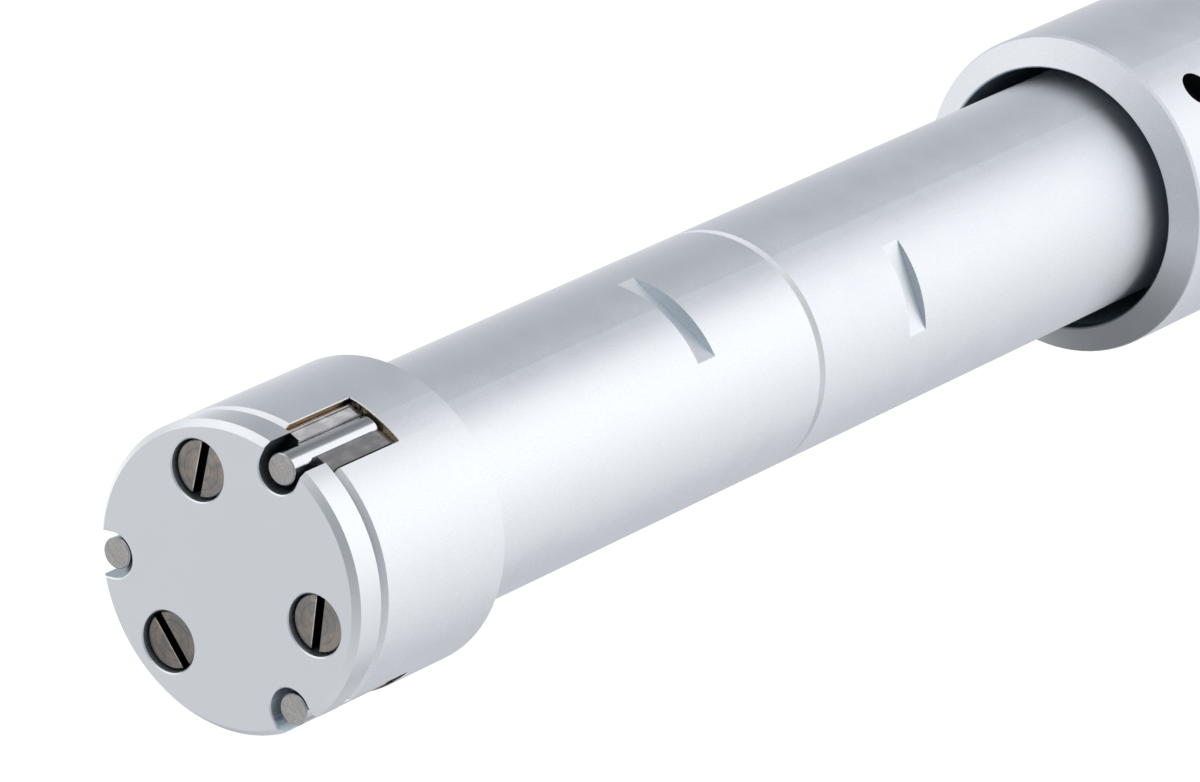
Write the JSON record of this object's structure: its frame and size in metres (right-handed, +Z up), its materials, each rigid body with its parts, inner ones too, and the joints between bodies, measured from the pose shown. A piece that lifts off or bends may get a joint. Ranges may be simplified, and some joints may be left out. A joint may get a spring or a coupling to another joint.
{
  "type": "three-point inside micrometer",
  "caption": "Hand gauge for bores: round head with sliding radial anvils on a long stem, graduated sleeve, fluted thimble and ratchet knob.",
  "frame": {"origin": "middle of the ratchet knob's flat end, which the instrument stands on", "axes": "+Z up the axis towards the measuring head, +X through the first anvil"},
  "size_m": [0.0254, 0.0254, 0.185],
  "materials": {
    "satin_chrome": "fine pearl chrome plating, matt with a faint sparkle",
    "ground_steel": "finely turned and lapped steel",
    "blackened_steel": "oil-blackened steel with turning marks, worn bright",
    "hardened_steel": "hardened and ground steel, faint straw tint",
    "hard_metal": "lapped hard metal, bright along the flank, ground at the ends",
    "plain_steel": "ground steel",
    "spring_steel": "drawn wire",
    "bronze": "turned bronze"
  },
  "bodies": {
    "head": {"head_body": "satin_chrome", "end_plate": "ground_steel", "end_plate_screws": "blackened_steel", "neck_tube": "satin_chrome", "stem_tube": "satin_chrome", "stem_bush": "bronze", "graduated_sleeve": "satin_chrome", "barrel": "plain_steel", "adjusting_nut": "plain_steel"},
    "cone_rod": {"measuring_cone": "hardened_steel", "push_rod": "plain_steel", "thrust_ball": "hard_metal", "return_spring": "spring_steel"},
    "spindle": {"spindle": "plain_steel", "spindle_tip": "hard_metal", "thimble": "satin_chrome", "thimble_nut": "hardened_steel", "ratchet_wheel": "hardened_steel", "ratchet_screw": "blackened_steel"},
    "ratchet": {"ratchet_knob": "satin_chrome", "ratchet_disc": "hardened_steel", "ratchet_spring": "spring_steel"},
    "anvil_1": {"anvil_block_1": "hardened_steel", "measuring_pin_1": "hard_metal"},
    "anvil_2": {"anvil_block_2": "hardened_steel", "measuring_pin_2": "hard_metal"},
    "anvil_3": {"anvil_block_3": "hardened_steel", "measuring_pin_3": "hard_metal"}
  },
  "joints": [
    {"name": "cone_slide", "type": "slide", "parent": "head", "child": "cone_rod", "axis": [0, 0, 1], "range_m": [0, 0.006], "deforming": ["return_spring"]},
    {"name": "thimble_turn", "type": "hinge", "parent": "cone_rod", "child": "spindle", "pos_m": [0, 0, 0.045], "axis": [0, 0, 1], "range_deg": [0, 4320]},
    {"name": "ratchet_turn", "type": "hinge", "parent": "spindle", "child": "ratchet", "pos_m": [0, 0, 0.009], "axis": [0, 0, 1], "continuous": true},
    {"name": "anvil_1_slide", "type": "slide", "parent": "head", "child": "anvil_1", "axis": [1, 0, 0], "range_m": [0, 0.003]},
    {"name": "anvil_2_slide", "type": "slide", "parent": "head", "child": "anvil_2", "axis": [-0.5, 0.866, 0], "range_m": [0, 0.003]},
    {"name": "anvil_3_slide", "type": "slide", "parent": "head", "child": "anvil_3", "axis": [-0.5, -0.866, 0], "range_m": [0, 0.003]}
  ],
  "couplings": [
    {"joint": "thimble_turn", "follows": "cone_slide", "rad_per_m": 12566},
    {"joint": "anvil_1_slide", "follows": "cone_slide", "ratio": 0.5},
    {"joint": "anvil_2_slide", "follows": "cone_slide", "ratio": 0.5},
    {"joint": "anvil_3_slide", "follows": "cone_slide", "ratio": 0.5}
  ]
}
